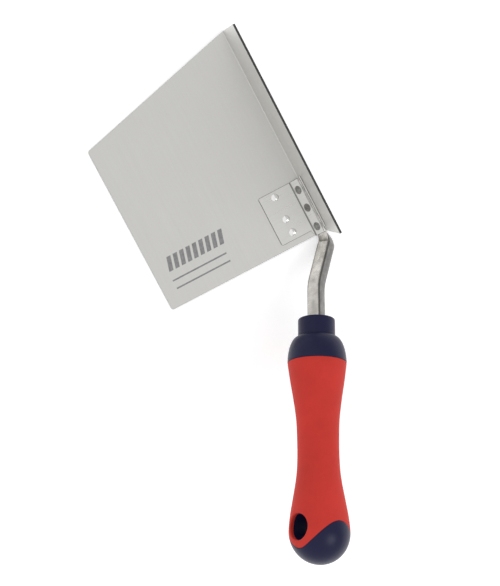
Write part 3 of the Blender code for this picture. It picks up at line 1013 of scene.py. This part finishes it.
def build_sleeve(material):
    """Soft outer sleeve, with rounded ends and a rounded lip round each mouth of the hole."""
    bm = bmesh.new()
    shares, first, last = grip_shares()
    edge = SLEEVE_EDGE
    outer = [grip_ring(bm, share, 0.0, edge, edge) for share in shares]
    skin_with_holes(bm, outer, first, last)
    inner = [grip_ring(bm, share, SLEEVE_THICKNESS) for share in shares]
    skin_with_holes(bm, inner, first, last)
    top = [outer[0]] + [grip_ring(bm, 0.0, depth, inset) for inset, depth in edge_arc(edge)[1:]]
    end = [outer[-1]] + [grip_ring(bm, 1.0, depth, 0.0, inset) for inset, depth in edge_arc(edge)[1:]]
    for rings in (top + [inner[0]], end + [inner[-1]]):
        for one, two in zip(rings, rings[1:]):
            bridge(bm, one, two)
    for side in (1, -1):
        border = patch_border(outer, first, last, side)
        angles, ring = hole_funnel(bm, border, side, 0.0, HOLE_LIP)
        for inset, depth in edge_arc(HOLE_LIP, 8)[1:]:
            deeper = hole_ring(bm, angles, side, depth, inset)
            bridge(bm, ring, deeper)
            ring = deeper
        border = patch_border(inner, first, last, side)
        _, inside = hole_funnel(bm, border, side, SLEEVE_THICKNESS, 0.0)
        bridge(bm, ring, inside)
    mesh = finished_mesh("grip_skin", bm, HANDLE_SHARP_ANGLE)
    add_piece("grip_skin", mesh, HANDLE, [material], "red_grip", "grip_sleeve")


def socket_ring(bm, station):
    """Square with rounded corners, just wider than the bar."""
    half = BAR / 2 + 3 * SEAM
    power = 9

    def rule(angle):
        turned = angle + TANG_TWIST
        reach = (abs(math.cos(turned)) ** power + abs(math.sin(turned)) ** power) ** (1 / power)
        return station, half / reach
    return handle_ring(bm, rule)


def collar_rings(bm):
    """Socket for the bar, top face, rounded edge, side and the dome down to the sleeve."""
    rings = [socket_ring(bm, SOCKET_DEPTH), socket_ring(bm, COLLAR_EDGE / 3)]
    face_start = BAR * 0.58
    face_end = COLLAR_RADIUS - COLLAR_EDGE
    for share in (0.08, 0.5, 1.0):
        rings.append(even_ring(bm, 0.0, face_start + (face_end - face_start) * share))
    for inset, depth in reversed(edge_arc(COLLAR_EDGE, 6)[:-1]):
        rings.append(even_ring(bm, inset, COLLAR_RADIUS - depth))
    for station in steps_between(COLLAR_EDGE, COLLAR_LENGTH, 6)[1:]:
        rings.append(even_ring(bm, station, COLLAR_RADIUS))
    for angle in steps_between(0.0, math.pi / 2, SHOULDER_RINGS)[1:-1]:
        station = SHOULDER - (SHOULDER - COLLAR_LENGTH) * math.cos(angle)
        rings.append(even_ring(bm, station, handle_radius(station)))
    for inset, depth in edge_arc(CORE_EDGE):
        rings.append(even_ring(bm, SHOULDER - inset, SHOULDER_RADIUS - depth))
    return rings


def butt_rings(bm):
    """From the wavy seam over the rounded end."""
    def edge_ring(inset, depth):
        def rule(angle):
            station = wave_station(angle) + SEAM + inset
            return station, handle_radius(station) - depth
        return handle_ring(bm, rule)

    def body_ring(share):
        def rule(angle):
            start = wave_station(angle) + SEAM + CORE_EDGE
            station = HANDLE_LENGTH - (HANDLE_LENGTH - start) * (1 - share) ** 1.8
            return station, handle_radius(station)
        return handle_ring(bm, rule)

    rings = [edge_ring(inset, depth) for inset, depth in reversed(edge_arc(CORE_EDGE))]
    return rings + [body_ring(share) for share in steps_between(0.0, 1.0, BUTT_RINGS)[1:-1]]


def build_core(material):
    """Hard handle body: collar, dome, the neck under the sleeve, the hole's tube and the butt."""
    bm = bmesh.new()
    depth = SLEEVE_THICKNESS + SEAM
    shares, first, last = grip_shares()
    neck = [grip_ring(bm, share, depth) for share in shares]
    skin_with_holes(bm, neck, first, last)
    collar = collar_rings(bm)
    butt = butt_rings(bm)
    for rings in (collar + [neck[0]], [neck[-1]] + butt):
        for one, two in zip(rings, rings[1:]):
            bridge(bm, one, two)
    bm.faces.new(collar[0])
    tip = bm.verts.new((0.0, 0.0, HANDLE_LENGTH))
    for k in range(HANDLE_COLUMNS):
        bm.faces.new((butt[-1][k], butt[-1][(k + 1) % HANDLE_COLUMNS], tip))
    mouths = []
    for side in (1, -1):
        _, mouth = hole_funnel(bm, patch_border(neck, first, last, side), side, depth, 0.0)
        mouths.append(mouth)
    previous = mouths[0]
    for share in steps_between(0.0, 1.0, TUBE_RINGS)[1:-1]:
        ring = [bm.verts.new(one.co.lerp(two.co, share)) for one, two in zip(*mouths)]
        bridge(bm, previous, ring)
        previous = ring
    bridge(bm, previous, mouths[1])
    mesh = finished_mesh("handle_body", bm, HANDLE_SHARP_ANGLE)
    add_piece("handle_body", mesh, HANDLE, [material], "navy_plastic", "handle_core")


# Floor, light and camera.

def build_floor():
    """Pale floor just under the left wing."""
    bm = bmesh.new()
    bmesh.ops.create_grid(bm, x_segments=4, y_segments=4, size=FLOOR_SIZE)
    mesh = bpy.data.meshes.new("floor")
    bm.to_mesh(mesh)
    bm.free()
    mesh.materials.append(floor_paint("floor_paint", FLOOR_COLOURS))
    floor = bpy.data.objects.new("floor", mesh)
    bpy.context.scene.collection.objects.link(floor)
    floor.location = (0.0, 0.0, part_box("blade")[0].z - FLOOR_DROP)


def build_sky():
    """White surroundings, brighter at the left than at the right."""
    world = bpy.data.worlds.new("studio")
    world.use_nodes = True
    tree = world.node_tree
    background = tree.nodes["Background"]
    background.inputs["Color"].default_value = WHITE
    way = add_node(tree, "ShaderNodeTexCoord").outputs["Generated"]
    across = add_node(tree, "ShaderNodeSeparateXYZ", {"Vector": way}).outputs[0]
    fading = spread(tree, across, SKY_AT_LEFT, SKY_AT_RIGHT, 0.15, 0.85)
    tree.links.new(fading, background.inputs["Strength"])
    bpy.context.scene.world = world


def build_lamp():
    """One soft square light, above and to the right of the handle."""
    lamp = bpy.data.lights.new("key", "AREA")
    lamp.shape = "SQUARE"
    lamp.size = LAMP_SIZE
    lamp.energy = LAMP_POWER
    made = bpy.data.objects.new("key", lamp)
    bpy.context.scene.collection.objects.link(made)
    made.location = LAMP_PLACE
    made.rotation_mode = "QUATERNION"
    made.rotation_quaternion = (LAMP_AIM - LAMP_PLACE).to_track_quat("-Z", "Y")


def build_camera():
    lens = bpy.data.cameras.new("camera")
    lens.lens = CAMERA_LENS
    lens.clip_start = 0.01
    lens.clip_end = 20.0
    camera = bpy.data.objects.new("camera", lens)
    bpy.context.scene.collection.objects.link(camera)
    camera.location = CAMERA_PLACE
    camera.rotation_euler = [math.radians(angle) for angle in CAMERA_TURN_DEGREES]
    bpy.context.scene.camera = camera
    bpy.context.scene.view_settings.view_transform = "Standard"


def build_all():
    sheet = steel("sheet_steel", SHEET_COLOUR, 0.33, grain=900.0, stretch=ALONG_FOLD, contrast=0.022)
    plate = steel("plate_steel", PLATE_COLOUR, 0.30, grain=800.0, stretch=ACROSS_FOLD, contrast=0.04)
    # Dark steel that paints shade on the bracket's left bend and edges.
    bend_shade = steel("bend_shade_steel", BEND_SHADE_COLOUR, 0.36, grain=800.0, stretch=ALONG_BEND, contrast=0.08)
    rivet = steel("rivet_steel", RIVET_COLOUR, 0.14, grain=1500.0, stretch=EVENLY, contrast=0.03)
    tail = steel("ground_steel", RIVET_TAIL_COLOUR, 0.38, grain=1500.0, stretch=EVENLY, contrast=0.06)
    navy = moulded("navy_plastic", NAVY, NAVY_RUBBED, 0.36, grain=2600.0, depth=0.00003, gloss=0.22)
    red = moulded("red_rubber", RED, RED_RUBBED, 0.6, grain=3200.0, depth=0.00004, gloss=0.12)
    # The blade's edges take the painted shade.
    build_blade(sheet, cut_edge("sheared_edge_shade", SHEARED_SHADE_COLOUR))
    build_bracket(plate, bend_shade)
    build_rivets(rivet, tail)
    build_welds(weld_metal("weld_metal", WELD_COLOURS))
    build_mark(printed("etched_grey", MARK_COLOURS))
    build_tang(drawn_bar("bar_steel", BAR_COLOUR, BAR_SHADE_COLOUR))
    build_core(navy)
    build_sleeve(red)
    build_floor()
    build_sky()
    build_lamp()
    build_camera()


build_all()
